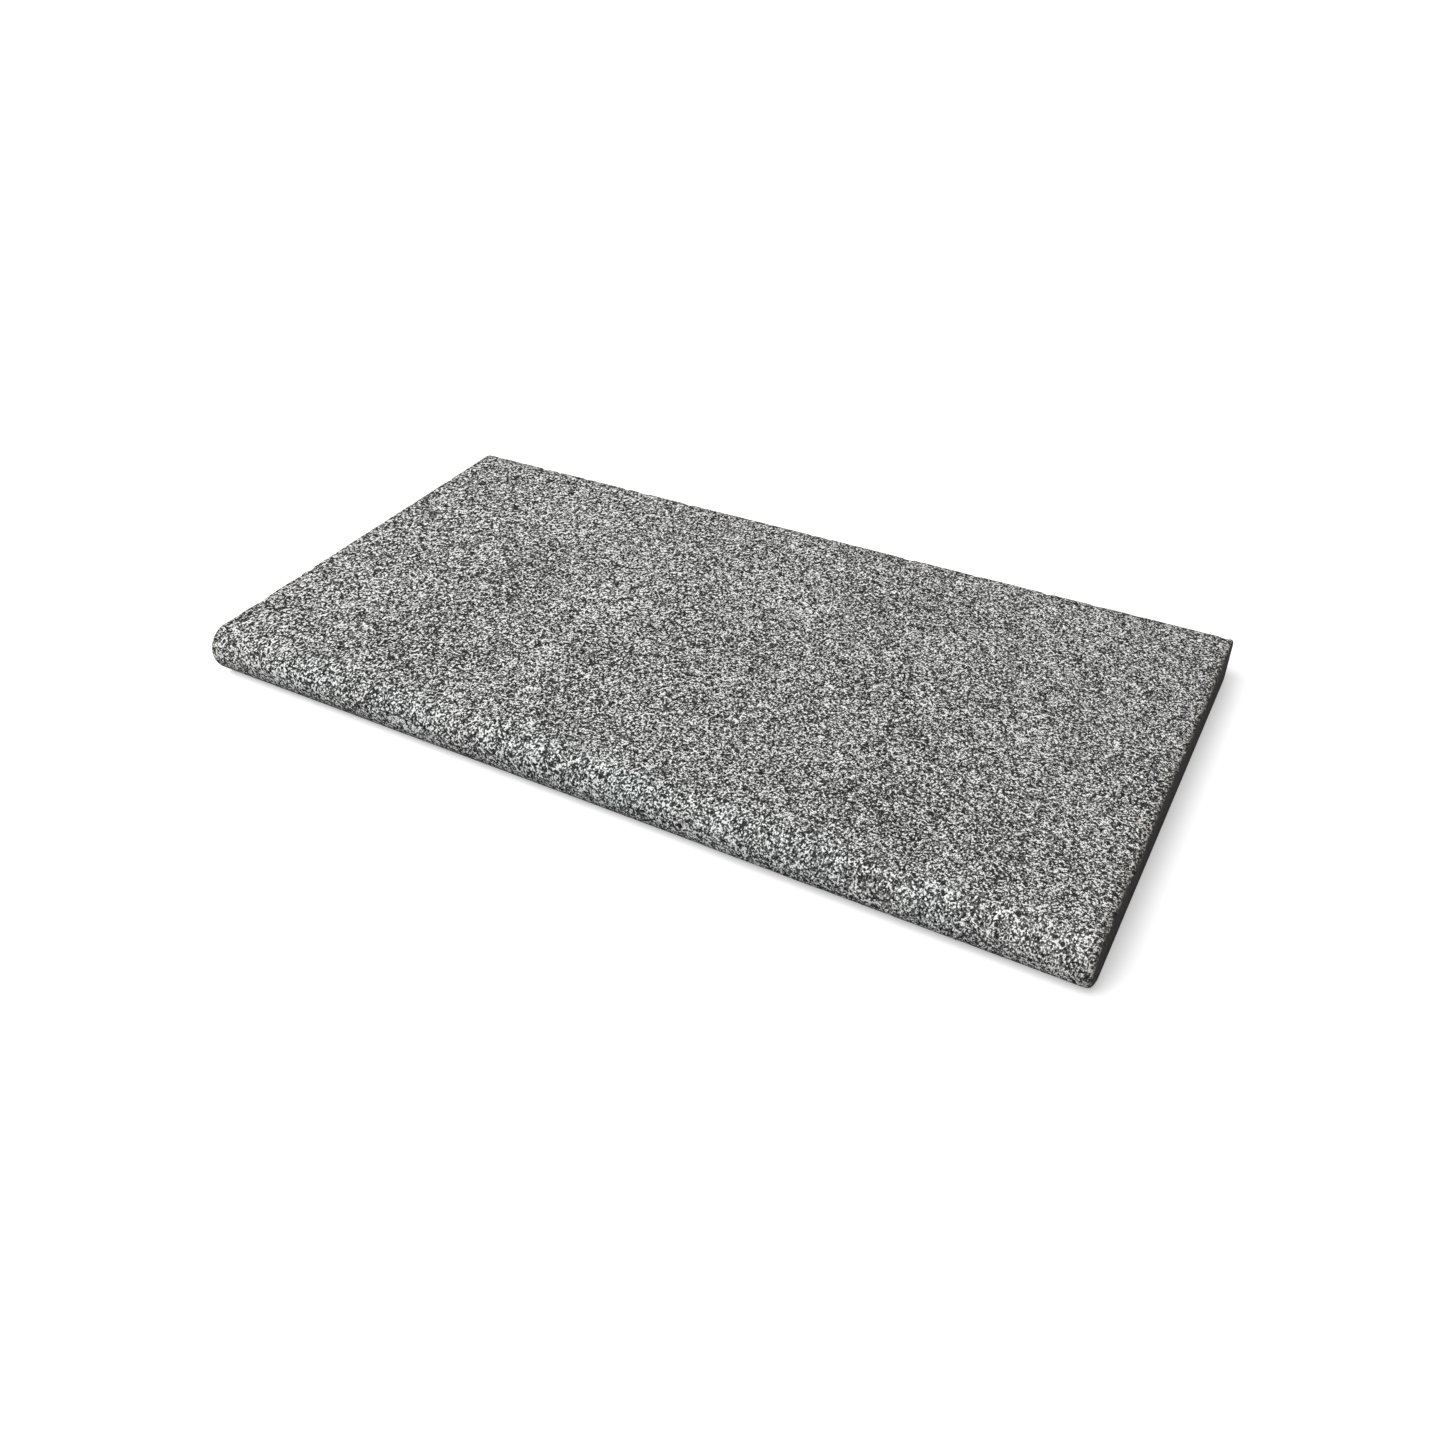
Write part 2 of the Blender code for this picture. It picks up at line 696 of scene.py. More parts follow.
    def _arrises(self) -> List[ArrisLine]:
        """Return the slab's arrises."""
        low, high = self.sizes.low, self.sizes.high
        front = self.sizes.nose_axis.y
        lines = []
        for side, x in ((-1.0, low.x), (1.0, high.x)):
            for up, z in ((1.0, high.z), (-1.0, low.z)):
                lines.append(ArrisLine(
                    Vector((x, front, z)), Vector((x, high.y, z)),
                    Vector((side, 0.0, up)).normalized(), *self.knocks.end_edge))
            lines.append(ArrisLine(
                Vector((x, high.y, low.z)), Vector((x, high.y, high.z)),
                Vector((side, 1.0, 0.0)).normalized(), *self.knocks.corner))
        for up, z in ((1.0, high.z), (-1.0, low.z)):
            lines.append(ArrisLine(
                Vector((low.x, high.y, z)), Vector((high.x, high.y, z)),
                Vector((0.0, 1.0, up)).normalized(), *self.knocks.back_edge))
        return lines

    def _knocks(self) -> List[Chip]:
        """Return every nick and chip, drawn at random from the seed."""
        draw = random.Random(self.seed)
        sizes = self.knocks
        worn = self.sizes.arris * (math.sqrt(2.0) - 1.0)  # from the square corner to the arris
        knocks = []
        for line in self._arrises():
            depths = [draw.uniform(*sizes.nick_depth) * MM for _ in range(line.nicks)]
            depths += [draw.uniform(*sizes.chip_depth) * MM for _ in range(line.chips)]
            for depth in depths:
                place = line.start.lerp(line.end, draw.random())
                tilt = Vector([draw.uniform(-sizes.tilt, sizes.tilt) for _ in range(3)])
                knocks.append(Chip(
                    place - line.facing * worn,
                    (line.facing + tilt).normalized(),
                    depth,
                    draw.uniform(*sizes.ball) * MM))
        return knocks

    def _chip(self, bm: bmesh.types.BMesh) -> None:
        """Break the chips out of the arrises."""
        bm.verts.ensure_lookup_table()
        points = kdtree.KDTree(len(bm.verts))
        for vert in bm.verts:
            points.insert(vert.co, vert.index)
        points.balance()
        sawn = bm.verts.layers.float[Layer.SAWN.value]
        knocks = self._knocks()
        for chip in knocks:
            for _, index, _ in points.find_range(chip.centre, chip.ball):
                vert = bm.verts[index]
                out = vert.co - chip.centre
                if 0.0 < out.length < chip.ball:
                    vert.co = chip.centre + out.normalized() * chip.ball
                    vert[sawn] = min(vert[sawn], self.knocks.sawn_left)
        LOG.info("arrises: %d nicks and chips", len(knocks))


# ---------------------------------------------------------------- the shader's graph


FLOAT = "NodeSocketFloat"
VECTOR = "NodeSocketVector"
WHITE = (1.0, 1.0, 1.0, 1.0)
BLACK = (0.0, 0.0, 0.0, 1.0)
NOISE_MIDDLE = (0.5, 0.5, 0.5)


class Graph:
    """Adds nodes to one node tree and wires them up.

    A Mix node keeps a pair of sockets for each type: numbers at 2 and 3, colours at 6 and 7.
    """

    def __init__(self, tree: bpy.types.NodeTree) -> None:
        """Start on a tree.

        Args:
            tree: the material's or the group's node tree.
        """
        self.tree = tree

    def node(self, kind: str, **settings: object) -> bpy.types.Node:
        """Add a node.

        Args:
            kind: the node's type name.
            settings: the node's own settings.

        Returns:
            The node.
        """
        made = self.tree.nodes.new(kind)
        for name, value in settings.items():
            setattr(made, name, value)
        return made

    def feed(self, socket: Socket, value: Value) -> None:
        """Link a socket to another, or set its value."""
        if isinstance(value, bpy.types.NodeSocket):
            self.tree.links.new(value, socket)
        else:
            socket.default_value = value

    def math(self, operation: str, first: Value, second: Value = 0.0,
             clamp: bool = False) -> Socket:
        """Return the result of a Math node."""
        made = self.node("ShaderNodeMath", operation=operation, use_clamp=clamp)
        self.feed(made.inputs[0], first)
        self.feed(made.inputs[1], second)
        return made.outputs[0]

    def vector(self, operation: str, first: Value, second: Value) -> Socket:
        """Return the vector that a Vector Math node gives."""
        made = self.node("ShaderNodeVectorMath", operation=operation)
        self.feed(made.inputs[0], first)
        name = "Scale" if operation == "SCALE" else 1
        self.feed(made.inputs[name], second)
        return made.outputs["Vector"]

    def times(self, first: Value, second: Value) -> Socket:
        """Return the product of two numbers."""
        return self.math("MULTIPLY", first, second)

    def plus(self, first: Value, second: Value, clamp: bool = False) -> Socket:
        """Return the sum of two numbers."""
        return self.math("ADD", first, second, clamp)

    def less(self, first: Value, second: Value) -> Socket:
        """Return the first number less the second."""
        return self.math("SUBTRACT", first, second)

    def pushed(self, place: Socket, drift: Socket, reach: Value) -> Socket:
        """Return a place pushed about by a noise's colour, up to half of reach each way."""
        push = self.vector("SUBTRACT", drift, NOISE_MIDDLE)
        return self.vector("ADD", place, self.vector("SCALE", push, reach))

    def split(self, colour: Socket) -> List[Socket]:
        """Return the three parts of a colour: here, three random values."""
        parts = self.node("ShaderNodeSeparateColor")
        self.feed(parts.inputs[0], colour)
        return list(parts.outputs)

    def remap(self, value: Value, low: Value, high: Value, start: Value = 0.0, end: Value = 1.0,
              kind: str = "SMOOTHSTEP") -> Socket:
        """Return value carried from low..high to start..end, and held to that range."""
        made = self.node("ShaderNodeMapRange", interpolation_type=kind, clamp=True)
        for name, given in (("Value", value), ("From Min", low), ("From Max", high),
                            ("To Min", start), ("To Max", end)):
            self.feed(made.inputs[name], given)
        return made.outputs["Result"]

    def mix(self, share: Value, first: Value, second: Value) -> Socket:
        """Return a number between first, at share 0, and second, at share 1."""
        made = self.node("ShaderNodeMix", data_type="FLOAT", clamp_factor=True)
        self.feed(made.inputs[0], share)
        self.feed(made.inputs[2], first)
        self.feed(made.inputs[3], second)
        return made.outputs[0]

    def blend(self, share: Value, first: Value, second: Value, how: str = "MIX") -> Socket:
        """Return a colour between first, at share 0, and second, at share 1."""
        made = self.node("ShaderNodeMix", data_type="RGBA", blend_type=how, clamp_factor=True)
        self.feed(made.inputs[0], share)
        self.feed(made.inputs[6], first)
        self.feed(made.inputs[7], second)
        return made.outputs[2]

    def noise(self, place: Socket, scale: Value, detail: float = 2.0) -> bpy.types.Node:
        """Return a Noise Texture node, whose pattern repeats about once in 1 / scale."""
        made = self.node("ShaderNodeTexNoise")
        self.feed(made.inputs["Vector"], place)
        self.feed(made.inputs["Scale"], scale)
        made.inputs["Detail"].default_value = detail
        return made

    def cells(self, place: Socket, feature: str) -> bpy.types.Node:
        """Return a Voronoi Texture node with cells one unit across."""
        made = self.node("ShaderNodeTexVoronoi", feature=feature)
        self.feed(made.inputs["Vector"], place)
        made.inputs["Scale"].default_value = 1.0
        return made

    def place(self, group: bpy.types.NodeTree, **inputs: Value) -> Dict[str, Socket]:
        """Place a node group.

        Args:
            group: the group.
            inputs: its inputs by name, with _ for a space.

        Returns:
            Its outputs by name.
        """
        made = self.node("ShaderNodeGroup", node_tree=group)
        for name, value in inputs.items():
            self.feed(made.inputs[name.replace("_", " ")], value)
        return {o.name: o for o in made.outputs}


def new_group(name: str, inputs: Dict[str, str],
              outputs: Dict[str, str]) -> Tuple[Graph, Dict[str, Socket], bpy.types.Node]:
    """Make an empty node group.

    Args:
        name: the group's name.
        inputs: the type of each input, by name.
        outputs: the type of each output, by name.

    Returns:
        The group's graph, its inputs by name, and its output node.
    """
    tree = bpy.data.node_groups.new(name, "ShaderNodeTree")
    for way, sockets in (("INPUT", inputs), ("OUTPUT", outputs)):
        for socket, kind in sockets.items():
            tree.interface.new_socket(name=socket, in_out=way, socket_type=kind)
    graph = Graph(tree)
    start = graph.node("NodeGroupInput")
    end = graph.node("NodeGroupOutput")
    return graph, {o.name: o for o in start.outputs}, end


@dataclass(frozen=True)
class GrainHabit:
    """What the granite's grain has in common in every finish. Sizes are in crystals.

    Args:
        drift_scale: how often the curl turns, for each crystal.
        flank: how much wider a thread is with its paler flanks.
        rim: where a crystal starts to be duller than its middle, and where it is dullest.
        clump_scale: how often crystals clump, for each crystal.
        calm_share: how far the calmest grain goes to the even one.
        even: the even grain, which has no contrast.
        cloud_share: how much a cloud raises or lowers the grain.
        facet_share: how much the crystals' own heights count beside the threads'.
    """

    drift_scale: float = 0.9
    flank: float = 2.0
    rim: Span = (0.1, 0.6)
    clump_scale: float = 0.22
    calm_share: float = 0.30
    even: float = 0.535
    cloud_share: float = 0.06
    facet_share: float = 0.5


def make_grain_group(habit: GrainHabit) -> bpy.types.NodeTree:
    """Make the granite's grain: crystals and winding threads, clumped, from dark to pale.

    Args:
        habit: what the grain has in common in every finish.

    Returns:
        A group that gives Grain, from 0 in the darkest mineral to 1 in the palest; Facet, a
        random value for each crystal; and Relief, the height of the surface.
    """
    g, given, out = new_group(
        "granite_grain",
        {"Place": VECTOR, "Crystal": FLOAT, "Curl": FLOAT, "Thread Size": FLOAT,
         "Thread Width": FLOAT, "Thread Share": FLOAT, "Flank": FLOAT, "Speck Share": FLOAT,
         "Clump": FLOAT, "Cloud": FLOAT, "Calm": FLOAT},
        {"Grain": FLOAT, "Facet": FLOAT, "Relief": FLOAT},
    )
    unit = g.vector("SCALE", given["Place"], g.math("DIVIDE", 1.0, given["Crystal"]))
    drift = g.noise(unit, habit.drift_scale, 1.0)
    curled = g.pushed(unit, drift.outputs["Color"], given["Curl"])
    crystals = g.cells(curled, "F1")
    bright, height, facet = g.split(crystals.outputs["Color"])

    thread = g.noise(curled, g.math("DIVIDE", 1.0, given["Thread Size"]))
    off_line = g.math("ABSOLUTE", g.less(thread.outputs["Fac"], 0.5))
    width = given["Thread Width"]
    ridge = g.remap(off_line, 0.0, width, 1.0, 0.0)
    flank = g.remap(off_line, width, g.times(width, habit.flank), 0.0, given["Flank"])
    threads = g.plus(ridge, flank)

    middle = g.remap(crystals.outputs["Distance"], *habit.rim, 1.0, 0.0)
    specks = g.mix(given["Speck Share"], bright, middle)
    clumps = g.noise(unit, habit.clump_scale)
    clumped = g.times(g.less(clumps.outputs["Fac"], 0.5), given["Clump"])
    grain = g.plus(g.mix(given["Thread Share"], specks, threads), clumped)
    grain = g.mix(g.times(given["Calm"], habit.calm_share), grain, habit.even)
    grain = g.plus(grain, g.times(given["Cloud"], habit.cloud_share), clamp=True)
    g.feed(out.inputs["Grain"], grain)
    g.feed(out.inputs["Facet"], facet)
    g.feed(out.inputs["Relief"], g.mix(habit.facet_share, threads, height))
    return g.tree


@dataclass(frozen=True)
class FleckHabit:
    """Scattered flecks of one mineral. Lengths are in millimetres.

    Args:
        spacing: the distance between the places where a fleck may lie.
        share: the share of those places that have one.
        reach: the radius of a middling fleck, as a share of the spacing.
        ragged: how far its outline strays.
    """

    spacing: float
    share: float
    reach: float
    ragged: float


FLECK_SIZES = (0.6, 1.2)  # the smallest and the largest fleck, to a middling one
FLECK_SOLID = 0.7  # the part of a fleck's radius within which it is solid


def make_fleck_group() -> bpy.types.NodeTree:
    """Make scattered flecks of one mineral.

    Returns:
        A group that gives Fleck, 1 inside a fleck and 0 outside.
    """
    g, given, out = new_group(
        "mineral_flecks",
        {"Place": VECTOR, "Spacing": FLOAT, "Share": FLOAT, "Reach": FLOAT, "Ragged": FLOAT},
        {"Fleck": FLOAT},
    )
    drift = g.noise(given["Place"], g.math("DIVIDE", 2.0, given["Spacing"]))
    moved = g.pushed(given["Place"], drift.outputs["Color"], given["Ragged"])
    unit = g.vector("SCALE", moved, g.math("DIVIDE", 1.0, given["Spacing"]))
    spots = g.cells(unit, "F1")
    luck, size, _ = g.split(spots.outputs["Color"])
    chosen = g.math("LESS_THAN", luck, given["Share"])
    own = g.times(given["Reach"], g.remap(size, 0.0, 1.0, *FLECK_SIZES, kind="LINEAR"))
    inside = g.remap(spots.outputs["Distance"], g.times(own, FLECK_SOLID), own, 1.0, 0.0)
    g.feed(out.inputs["Fleck"], g.times(chosen, inside))
    return g.tree


@dataclass(frozen=True)
class SawHabit:
    """The marks of a round saw blade. Lengths are in millimetres.

    Args:
        pitch: the distance between the fine ridges.
        bow: how strongly the arcs bow.
        middle: the height at which they stand upright.
        waver: how far the blade strays.
        waver_scale: how often it does so, for each millimetre.
        coarse: the number of coarse ridges to one fine one.
        fine_share: the share of the fine ridges in the height.
        coarse_share: the share of the coarse ones.
    """

    pitch: float = 2.2
    bow: float = 0.012
    middle: float = 16.5
    waver: float = 9.0
    waver_scale: float = 0.05
    coarse: float = 0.23
    fine_share: float = 0.35
    coarse_share: float = 0.65


def make_saw_group(habit: SawHabit) -> bpy.types.NodeTree:
    """Make the marks of a round saw blade: shallow arcs, side by side.

    Args:
        habit: how the blade cuts.

    Returns:
        A group that gives Height, the height of the ridges.
    """
    g, given, out = new_group(
        "saw_marks",
        {"Place": VECTOR, "Pitch": FLOAT, "Bow": FLOAT},
        {"Height": FLOAT},
    )
    parts = g.node("ShaderNodeSeparateXYZ")
    g.feed(parts.inputs[0], given["Place"])
    x, y, z = parts.outputs
    rise = g.less(z, habit.middle)
    bowed = g.plus(g.plus(x, y), g.times(g.times(rise, rise), given["Bow"]))
    uneven = g.noise(given["Place"], habit.waver_scale)
    bowed = g.plus(bowed, g.times(uneven.outputs["Fac"], habit.waver))
    turns = g.math("DIVIDE", g.times(bowed, 2.0 * math.pi), given["Pitch"])
    fine = g.math("SINE", turns)
    coarse = g.math("SINE", g.times(turns, habit.coarse))
    g.feed(out.inputs["Height"], g.plus(g.times(fine, habit.fine_share),
                                        g.times(coarse, habit.coarse_share)))
    return g.tree


@dataclass(frozen=True)
class StoneFinish:
    """How one finish of the granite looks. Sizes are in millimetres where not in crystals.

    Args:
        crystal: the size of the crystals.
        curl: how far the crystals curl round each other, in crystals.
        thread_size: the size of the loops of winding threads, in crystals.
        thread_width: the threads' width, as a share of their noise's range.
        thread_share: how much the threads count beside the crystals.
        flank: how pale the threads' flanks are.
        speck_share: how much brighter a crystal is in its middle.
        clump: how strongly like crystals keep together.
        stops: the colours from the darkest mineral to the palest, each with its place.
        mica: the colour of the flecks of dark mica.
        roughness: the roughness of the dullest crystals.
        sheen: how much smoother the brightest facets are.
        pattern_relief: the height of the grain, or of the saw marks, in the fine relief.
        dust_relief: the height of the finest unevenness in it.
    """

    crystal: float
    curl: float
    thread_size: float
    thread_width: float
    thread_share: float
    flank: float
    speck_share: float
    clump: float
    stops: Tuple[Tuple[float, Colour], ...]
    mica: Paint
    roughness: float
    sheen: float
    pattern_relief: float
    dust_relief: float


FLAMED = StoneFinish(
    crystal=1.05,
    curl=0.2,
    thread_size=2.6,
    thread_width=0.10,
    thread_share=0.33,
    flank=0.13,
    speck_share=0.06,
    clump=0.045,
    stops=(
        (0.270, (0.007, 0.007, 0.007)),
        (0.460, (0.090, 0.090, 0.089)),
        (0.598, (0.385, 0.385, 0.379)),
        (0.620, (1.000, 1.000, 0.985)),
    ),
    mica=(0.030, 0.030, 0.029, 1.0),
    roughness=0.82,
    sheen=0.18,
    pattern_relief=0.5,
    dust_relief=0.9,
)
SAWN = StoneFinish(
    crystal=2.2,
    curl=0.6,
    thread_size=1.8,
    thread_width=0.14,
    thread_share=0.5,
    flank=0.4,
    speck_share=0.4,
    clump=0.6,
    # Partly painted shade: these colours are darker than dry sawn granite, so that they stand in
    # for the shade on the ends; the rest is the sawn stone's own darker tone.
    stops=(
        (0.10, (0.030, 0.029, 0.027)),
        (0.45, (0.075, 0.071, 0.066)),
        (0.65, (0.110, 0.105, 0.097)),
        (0.95, (0.210, 0.202, 0.188)),
    ),
    mica=(0.028, 0.027, 0.025, 1.0),
    roughness=0.62,
    sheen=0.12,
    pattern_relief=0.05,
    dust_relief=0.12,
)


@dataclass
class GraniteDressing:
    """Makes the stone's one material and puts it on.

    Args:
        flamed: the finish of the top and the nose.
        sawn: the finish of the ends, the back and the underside, whose dark colours are partly
            painted shade.
        mica: the flecks of dark mica.
        rusty: the rare rusty flecks.
        saw: the saw marks.
        gloss: the strength of the stone's shine, which pits and dust take away.
        bump: the height of the fine relief, in metres.
        dust_scale: how often the finest unevenness swings, for each millimetre.
        dust_detail: how many finer layers that unevenness has.
        hollow_painted_shade: how much a hollow's colour is darkened, as painted shade.
        arris_darkening: how much darker the colour is made along the arrises of the ends and the
            back.
        cool: what the blue-green mineral multiplies the stone's colour by.
        warm: what the rusty dust along the arrises multiplies it by.
        rust: what the rusty flecks multiply it by.
    """

    flamed: StoneFinish = FLAMED
    sawn: StoneFinish = SAWN
    mica: FleckHabit = FleckHabit(4.2, 0.30, 0.33, 1.2)
    rusty: FleckHabit = FleckHabit(19.0, 0.35, 0.09, 2.5)
    saw: SawHabit = SawHabit()
    gloss: float = 0.25
    bump: float = 0.8 * MM
    dust_scale: float = 1.1
    dust_detail: float = 3.0
    hollow_painted_shade: float = 0.25
    arris_darkening: float = 0.15
    cool: Paint = (0.925, 0.995, 1.0, 1.0)
    warm: Paint = (1.0, 0.965, 0.915, 1.0)
    rust: Paint = (1.0, 0.86, 0.80, 1.0)

    def _layer(self, g: Graph, layer: Layer) -> Socket:
        """Return what is painted on the stone's points."""
        return g.node("ShaderNodeAttribute", attribute_name=layer.value).outputs["Fac"]

    def _grain(self, g: Graph, group: bpy.types.NodeTree,
               finish: StoneFinish) -> Dict[str, Socket]:
        """Place the grain group for one finish, in the grain's own space.

        Args:
            g: the material's graph.
            group: the grain group.
            finish: the finish.

        Returns:
            The group's outputs by name.
        """
        graded = g.node("ShaderNodeAttribute", attribute_name=GRAIN_PLACE).outputs["Vector"]
        return g.place(
            group,
            Place=g.vector("SCALE", graded, 1.0 / MM),
            Crystal=finish.crystal,
            Curl=finish.curl,
            Thread_Size=finish.thread_size,
            Thread_Width=finish.thread_width,
            Thread_Share=finish.thread_share,
            Flank=finish.flank,
            Speck_Share=finish.speck_share,
            Clump=finish.clump,
            Cloud=self._layer(g, Layer.CLOUD),
            Calm=self._layer(g, Layer.CALM),
        )

    def _flecks(self, g: Graph, group: bpy.types.NodeTree, place: Socket,
                habit: FleckHabit) -> Socket:
        """Return the mask of one mineral's flecks."""
        return g.place(
            group,
            Place=place,
            Spacing=habit.spacing,
            Share=habit.share,
            Reach=habit.reach,
            Ragged=habit.ragged,
        )["Fleck"]

    def _minerals(self, g: Graph, finish: StoneFinish, grain: Socket, mica: Socket) -> Socket:
        """Return the colour of one finish's crystals and flecks of mica.

        Args:
            g: the material's graph.
            finish: the finish.
            grain: the grain, from 0 to 1.
            mica: the mask of the mica.

        Returns:
            The colour.
        """
        ramp = g.node("ShaderNodeValToRGB")
        while len(ramp.color_ramp.elements) < len(finish.stops):
            ramp.color_ramp.elements.new(0.5)  # its place is set below
        for element, (place, colour) in zip(ramp.color_ramp.elements, finish.stops):
            element.position = place
            element.color = (*colour, 1.0)
        g.feed(ramp.inputs[0], grain)
        return g.blend(mica, ramp.outputs["Color"], finish.mica)

    def _painted_shade_and_tint(self, g: Graph, colour: Socket) -> Socket:
        """Return the stone's colour, with painted shade in the hollows, darker along the arrises
        of the ends and the back, and tinted.
        """
        # painted shade: the colour is darkened in the relief's hollows, where shade falls
        hollow = g.times(self._layer(g, Layer.PAINTED_HOLLOW_SHADE), self.hollow_painted_shade)
        # the colour is made darker along the arrises of the ends and the back
        edge = g.times(self._layer(g, Layer.EDGE), self.arris_darkening)
        shade = g.less(1.0, g.plus(hollow, edge))
        colour = g.blend(1.0, colour, g.vector("SCALE", WHITE[:3], shade), "MULTIPLY")
        tint = self._layer(g, Layer.TINT)
        colour = g.blend(tint, colour, self.cool, "MULTIPLY")
        return g.blend(g.times(tint, -1.0), colour, self.warm, "MULTIPLY")

    def _dullness(self, g: Graph, finish: StoneFinish, facet: Socket) -> Socket:
        """Return the roughness of one finish's crystals."""
        return g.less(finish.roughness, g.times(facet, finish.sheen))

    def _relief(self, g: Graph, finish: StoneFinish, pattern: Socket, dust: Socket) -> Socket:
        """Return the height of one finish's fine relief.

        Args:
            g: the material's graph.
            finish: the finish.
            pattern: the height of its own pattern: the grain, or the saw marks.
            dust: the finest unevenness.

        Returns:
            The height.
        """
        return g.plus(g.times(pattern, finish.pattern_relief), g.times(dust, finish.dust_relief))

    def _bumped(self, g: Graph, place: Socket, sawn: Socket, grain: Socket) -> Socket:
        """Make the fine relief, which is too small to be cut.

        Args:
            g: the material's graph.
            place: the place on the stone, in millimetres.
            sawn: the mask of the sawn faces.
            grain: the height of the flamed grain.

        Returns:
            The bumped normal.
        """
        marks = g.place(make_saw_group(self.saw), Place=place, Pitch=self.saw.pitch,
                        Bow=self.saw.bow)["Height"]
        dust = g.noise(place, self.dust_scale, self.dust_detail).outputs["Fac"]
        top = self._relief(g, self.flamed, grain, dust)
        cut = self._relief(g, self.sawn, marks, dust)
        bump = g.node("ShaderNodeBump")
        bump.inputs["Strength"].default_value = 1.0
        bump.inputs["Distance"].default_value = self.bump
        g.feed(bump.inputs["Height"], g.mix(sawn, top, cut))
        return bump.outputs["Normal"]

    def make(self) -> bpy.types.Material:
        """Make the material.

        Returns:
            Granite that is flamed where the stone is painted so, and sawn elsewhere.
        """
        grain_group, fleck_group = make_grain_group(GrainHabit()), make_fleck_group()
        material = bpy.data.materials.new("granite")
        material.use_nodes = True
        g = Graph(material.node_tree)
        shader = material.node_tree.nodes["Principled BSDF"]
        shader.inputs["Specular IOR Level"].default_value = self.gloss
        place = g.vector("SCALE", g.node("ShaderNodeTexCoord").outputs["Object"], 1.0 / MM)
        sawn = self._layer(g, Layer.SAWN)
        top = self._grain(g, grain_group, self.flamed)
        cut = self._grain(g, grain_group, self.sawn)

        mica = self._flecks(g, fleck_group, place, self.mica)
        rusty = self._flecks(g, fleck_group, place, self.rusty)
        top_colour = self._minerals(g, self.flamed, top["Grain"], mica)
        top_colour = g.blend(rusty, top_colour, self.rust, "MULTIPLY")
        cut_colour = self._minerals(g, self.sawn, cut["Grain"], mica)
        colour = self._painted_shade_and_tint(g, g.blend(sawn, top_colour, cut_colour))
        g.feed(shader.inputs["Base Color"], colour)

        top_dull = self._dullness(g, self.flamed, top["Facet"])
        cut_dull = self._dullness(g, self.sawn, cut["Facet"])
        g.feed(shader.inputs["Roughness"], g.mix(sawn, top_dull, cut_dull))
        g.feed(shader.inputs["Normal"], self._bumped(g, place, sawn, top["Relief"]))
        return material

    def dress(self, stone: bpy.types.Object) -> None:
        """Put the material on the stone."""
        stone.data.materials.append(self.make())


# ---------------------------------------------------------------- the studio


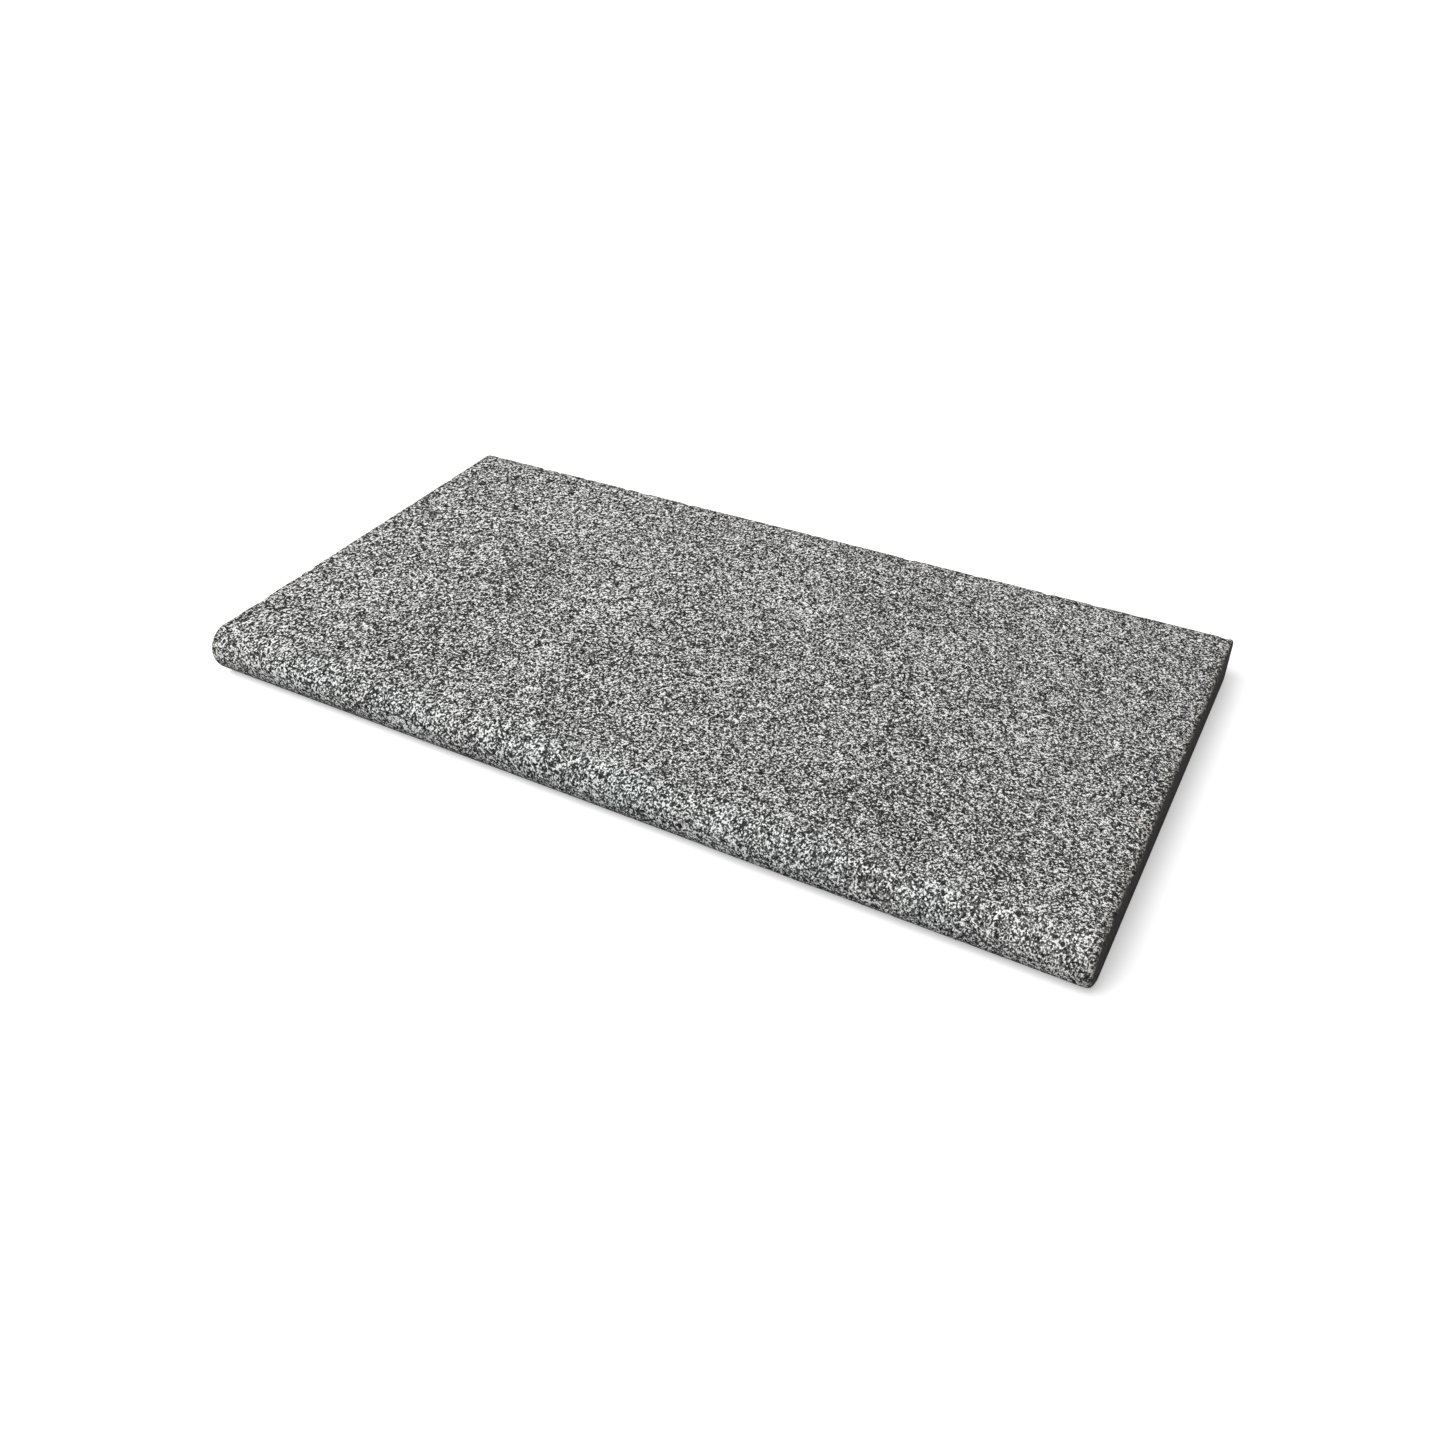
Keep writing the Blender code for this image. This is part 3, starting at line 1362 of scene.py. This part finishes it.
@dataclass
class Studio:
    """The pale floor, the soft light and the camera.

    Args:
        floor_radius: the radius of the floor.
        floor_sides: how many sides its outline has.
        floor_dull: its roughness.
        floor_tone: the floor as the eye sees it.
        floor_bounce: how much light the floor throws back at the stone.
        floor_glow: how much the floor's paleness fills the shadow that the eye sees on it.
        sky: the strength of the soft light from all round.
        backdrop: the brightness of the space behind the floor.
        key_strength: the strength of the wide, even light from above the front left.
        key_lean: how far it leans to the left and to the front, for each metre of height.
        key_height: how high it hangs.
        key_spread: how wide the light is, in degrees, which softens the shadows.
        side_power: the power of the lamp over the left end, in watts.
        side_place: where that lamp hangs.
        side_size: that lamp's width.
    """

    floor_radius: float = 9.0
    floor_sides: int = 96
    floor_dull: float = 0.9
    floor_tone: float = 0.92
    floor_bounce: float = 0.22
    floor_glow: float = 0.35
    sky: float = 0.33
    backdrop: float = 1.0
    key_strength: float = 2.45
    key_lean: Span = (-0.30, -0.60)
    key_height: float = 3.0
    key_spread: float = 40.0
    side_power: float = 4.0
    side_place: Tuple[float, float, float] = (-1.2, -0.3, 1.1)
    side_size: float = 0.7

    def build(self) -> None:
        """Build the whole studio."""
        self._lay_floor()
        self._hang_lights()
        self._light_world()
        bpy.context.scene.view_settings.view_transform = "Standard"

    def _lay_floor(self) -> None:
        """Lay the round, pale floor that the slab lies on."""
        bm = bmesh.new()
        bmesh.ops.create_circle(
            bm, cap_ends=True, radius=self.floor_radius, segments=self.floor_sides)
        mesh = bpy.data.meshes.new("studio_floor")
        bm.to_mesh(mesh)
        bm.free()
        floor = bpy.data.objects.new("studio_floor", mesh)
        bpy.context.scene.collection.objects.link(floor)
        material = bpy.data.materials.new("pale_floor")
        material.use_nodes = True
        g = Graph(material.node_tree)
        shader = material.node_tree.nodes["Principled BSDF"]
        shader.inputs["Roughness"].default_value = self.floor_dull
        shader.inputs["Specular IOR Level"].default_value = 0.0
        eye = g.node("ShaderNodeLightPath").outputs["Is Camera Ray"]
        bounce, tone = ((v, v, v, 1.0) for v in (self.floor_bounce, self.floor_tone))
        g.feed(shader.inputs["Base Color"], g.blend(eye, bounce, tone))
        g.feed(shader.inputs["Emission Color"], g.blend(eye, BLACK, tone))
        shader.inputs["Emission Strength"].default_value = self.floor_glow
        mesh.materials.append(material)

    def _aim(self, light: bpy.types.Light, place: Vector) -> None:
        """Hang a light at a place, and aim it at the slab.

        Args:
            light: the light.
            place: where it hangs.
        """
        lamp = bpy.data.objects.new(light.name, light)
        bpy.context.scene.collection.objects.link(lamp)
        lamp.location = place
        lamp.rotation_mode = "QUATERNION"
        lamp.rotation_quaternion = (-place).to_track_quat("-Z", "Y")

    def _hang_lights(self) -> None:
        """Hang the wide key light, and the lamp over the slab's left end."""
        key = bpy.data.lights.new("key_light", "SUN")
        key.energy = self.key_strength
        key.angle = math.radians(self.key_spread)
        self._aim(key, Vector((*self.key_lean, 1.0)) * self.key_height)
        side = bpy.data.lights.new("side_light", "AREA")
        side.shape = "DISK"
        side.size = self.side_size
        side.energy = self.side_power
        self._aim(side, Vector(self.side_place))

    def _light_world(self) -> None:
        """Light the space round the slab, softly, and show it pale."""
        world = bpy.data.worlds.new("studio")
        world.use_nodes = True
        bpy.context.scene.world = world
        g = Graph(world.node_tree)
        sky = world.node_tree.nodes["Background"]
        sky.inputs["Color"].default_value = WHITE
        eye = g.node("ShaderNodeLightPath").outputs["Is Camera Ray"]
        g.feed(sky.inputs["Strength"], g.mix(eye, self.sky, self.backdrop))


@dataclass
class ViewingCamera:
    """The camera, at the height and the angle of someone looking down at the slab.

    Args:
        azimuth: how far it has gone round to the right of the front, in degrees.
        elevation: how far it looks down, in degrees.
        roll: its tilt about its own axis, in degrees.
        place: where it is.
        lens: its focal length, in millimetres.
        sensor: the width of its film, in millimetres.
        clip: the nearest and the farthest that it sees.
        shift: how far the frame is shifted sideways and up, as a share of its width.
    """

    azimuth: float = 29.777
    elevation: float = 38.500
    roll: float = -1.609
    place: Tuple[float, float, float] = (0.35212, -0.56330, 0.48137)
    lens: float = 30.645
    sensor: float = 36.0
    clip: Span = (0.01, 100.0)
    shift: Span = (-0.0209, 0.0062)

    def build(self) -> None:
        """Make the camera, and look through it."""
        a, e = math.radians(self.azimuth), math.radians(self.elevation)
        back = Vector((math.sin(a) * math.cos(e), -math.cos(a) * math.cos(e), math.sin(e)))
        right = Vector((0.0, 0.0, 1.0)).cross(back).normalized()
        turned = Matrix((right, back.cross(right), back)).transposed().to_4x4()
        lens = bpy.data.cameras.new("camera")
        lens.lens = self.lens
        lens.sensor_width = self.sensor
        lens.shift_x, lens.shift_y = self.shift
        lens.clip_start, lens.clip_end = self.clip
        camera = bpy.data.objects.new("camera", lens)
        tilt = Matrix.Rotation(math.radians(self.roll), 4, "Z")
        camera.matrix_world = Matrix.Translation(self.place) @ turned @ tilt
        bpy.context.scene.collection.objects.link(camera)
        bpy.context.scene.camera = camera


def main() -> None:
    """Build the slab and its studio, and report each piece."""
    logging.basicConfig(level=logging.INFO, format="%(name)s: %(message)s")
    ViewingCamera().build()
    Studio().build()
    slab = StoneSlab(SlabSizes(*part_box(CAD_NODE)))
    stone = slab.build()
    GraniteDressing().dress(stone)
    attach(stone, "root")
    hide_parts(CAD_NODE)
    LOG.info("%s: %d faces", stone.name, len(stone.data.polygons))


if __name__ == "__main__":
    main()
